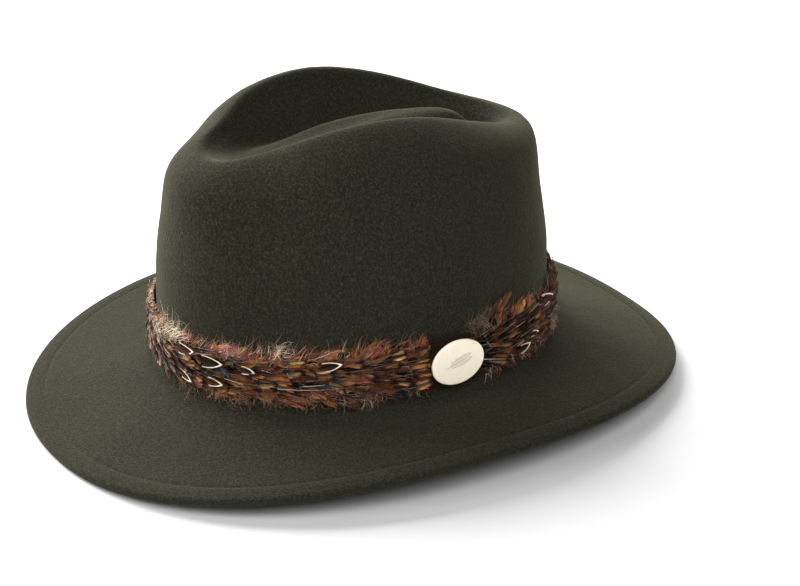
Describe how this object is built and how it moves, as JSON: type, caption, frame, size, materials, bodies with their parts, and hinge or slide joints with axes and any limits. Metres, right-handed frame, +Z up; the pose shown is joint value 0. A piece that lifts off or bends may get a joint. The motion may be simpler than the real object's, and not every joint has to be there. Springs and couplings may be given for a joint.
{
  "type": "fedora hat",
  "caption": "Wool felt fedora with a teardrop pinch-front crown, a gently dipped welted brim, a feather wrap with an oval metal badge, and a leather sweatband inside.",
  "frame": {"origin": "bottom centre of the bounding box: on the floor that the brim's front and back stand on, under the middle of the hat", "axes": "+X towards the wearer's left, where the badge is; -Y towards the front of the hat, so +Y towards its back; +Z up out of the top of the crown"},
  "size_m": [0.2728, 0.3371, 0.1556],
  "materials": {
    "felt": "matte wool felt with a short nap",
    "thread": "matte cotton sewing thread",
    "sweatband_leather": "smooth dark brown leather",
    "reed": "matte",
    "ribbon": "dull ribbed ribbon",
    "label_satin": "plain woven satin",
    "wrap_leather": "matte dark brown suede",
    "badge_metal": "pale gold, satin polished",
    "feather": "soft barred plumage, copper brown with cream edges"
  },
  "bodies": {
    "hat": {"felt_body": "felt", "brim_stitching": "thread", "sweatband": "sweatband_leather", "sweatband_reed": "reed", "sweatband_stitching": "thread", "sweatband_seam_tab": "sweatband_leather", "sweatband_bow": "ribbon", "size_label": "label_satin"},
    "wrap": {"wrap_band": "wrap_leather", "badge_keeper": "wrap_leather", "badge": "badge_metal", "feather_bundle_01": "feather", "feather_bundle_02": "feather", "feather_bundle_03": "feather", "feather_bundle_04": "feather", "feather_bundle_05": "feather", "feather_bundle_06": "feather", "feather_bundle_07": "feather", "feather_bundle_08": "feather", "feather_bundle_09": "feather", "feather_bundle_10": "feather", "feather_bundle_11": "feather", "feather_bundle_12": "feather", "feather_bundle_13": "feather", "feather_bundle_14": "feather", "feather_bundle_15": "feather", "feather_bundle_16": "feather"}
  },
  "joints": [
    {"name": "wrap_lift", "type": "slide", "parent": "hat", "child": "wrap", "axis": [0, 0, 1], "range_m": [0, 0.125]}
  ]
}
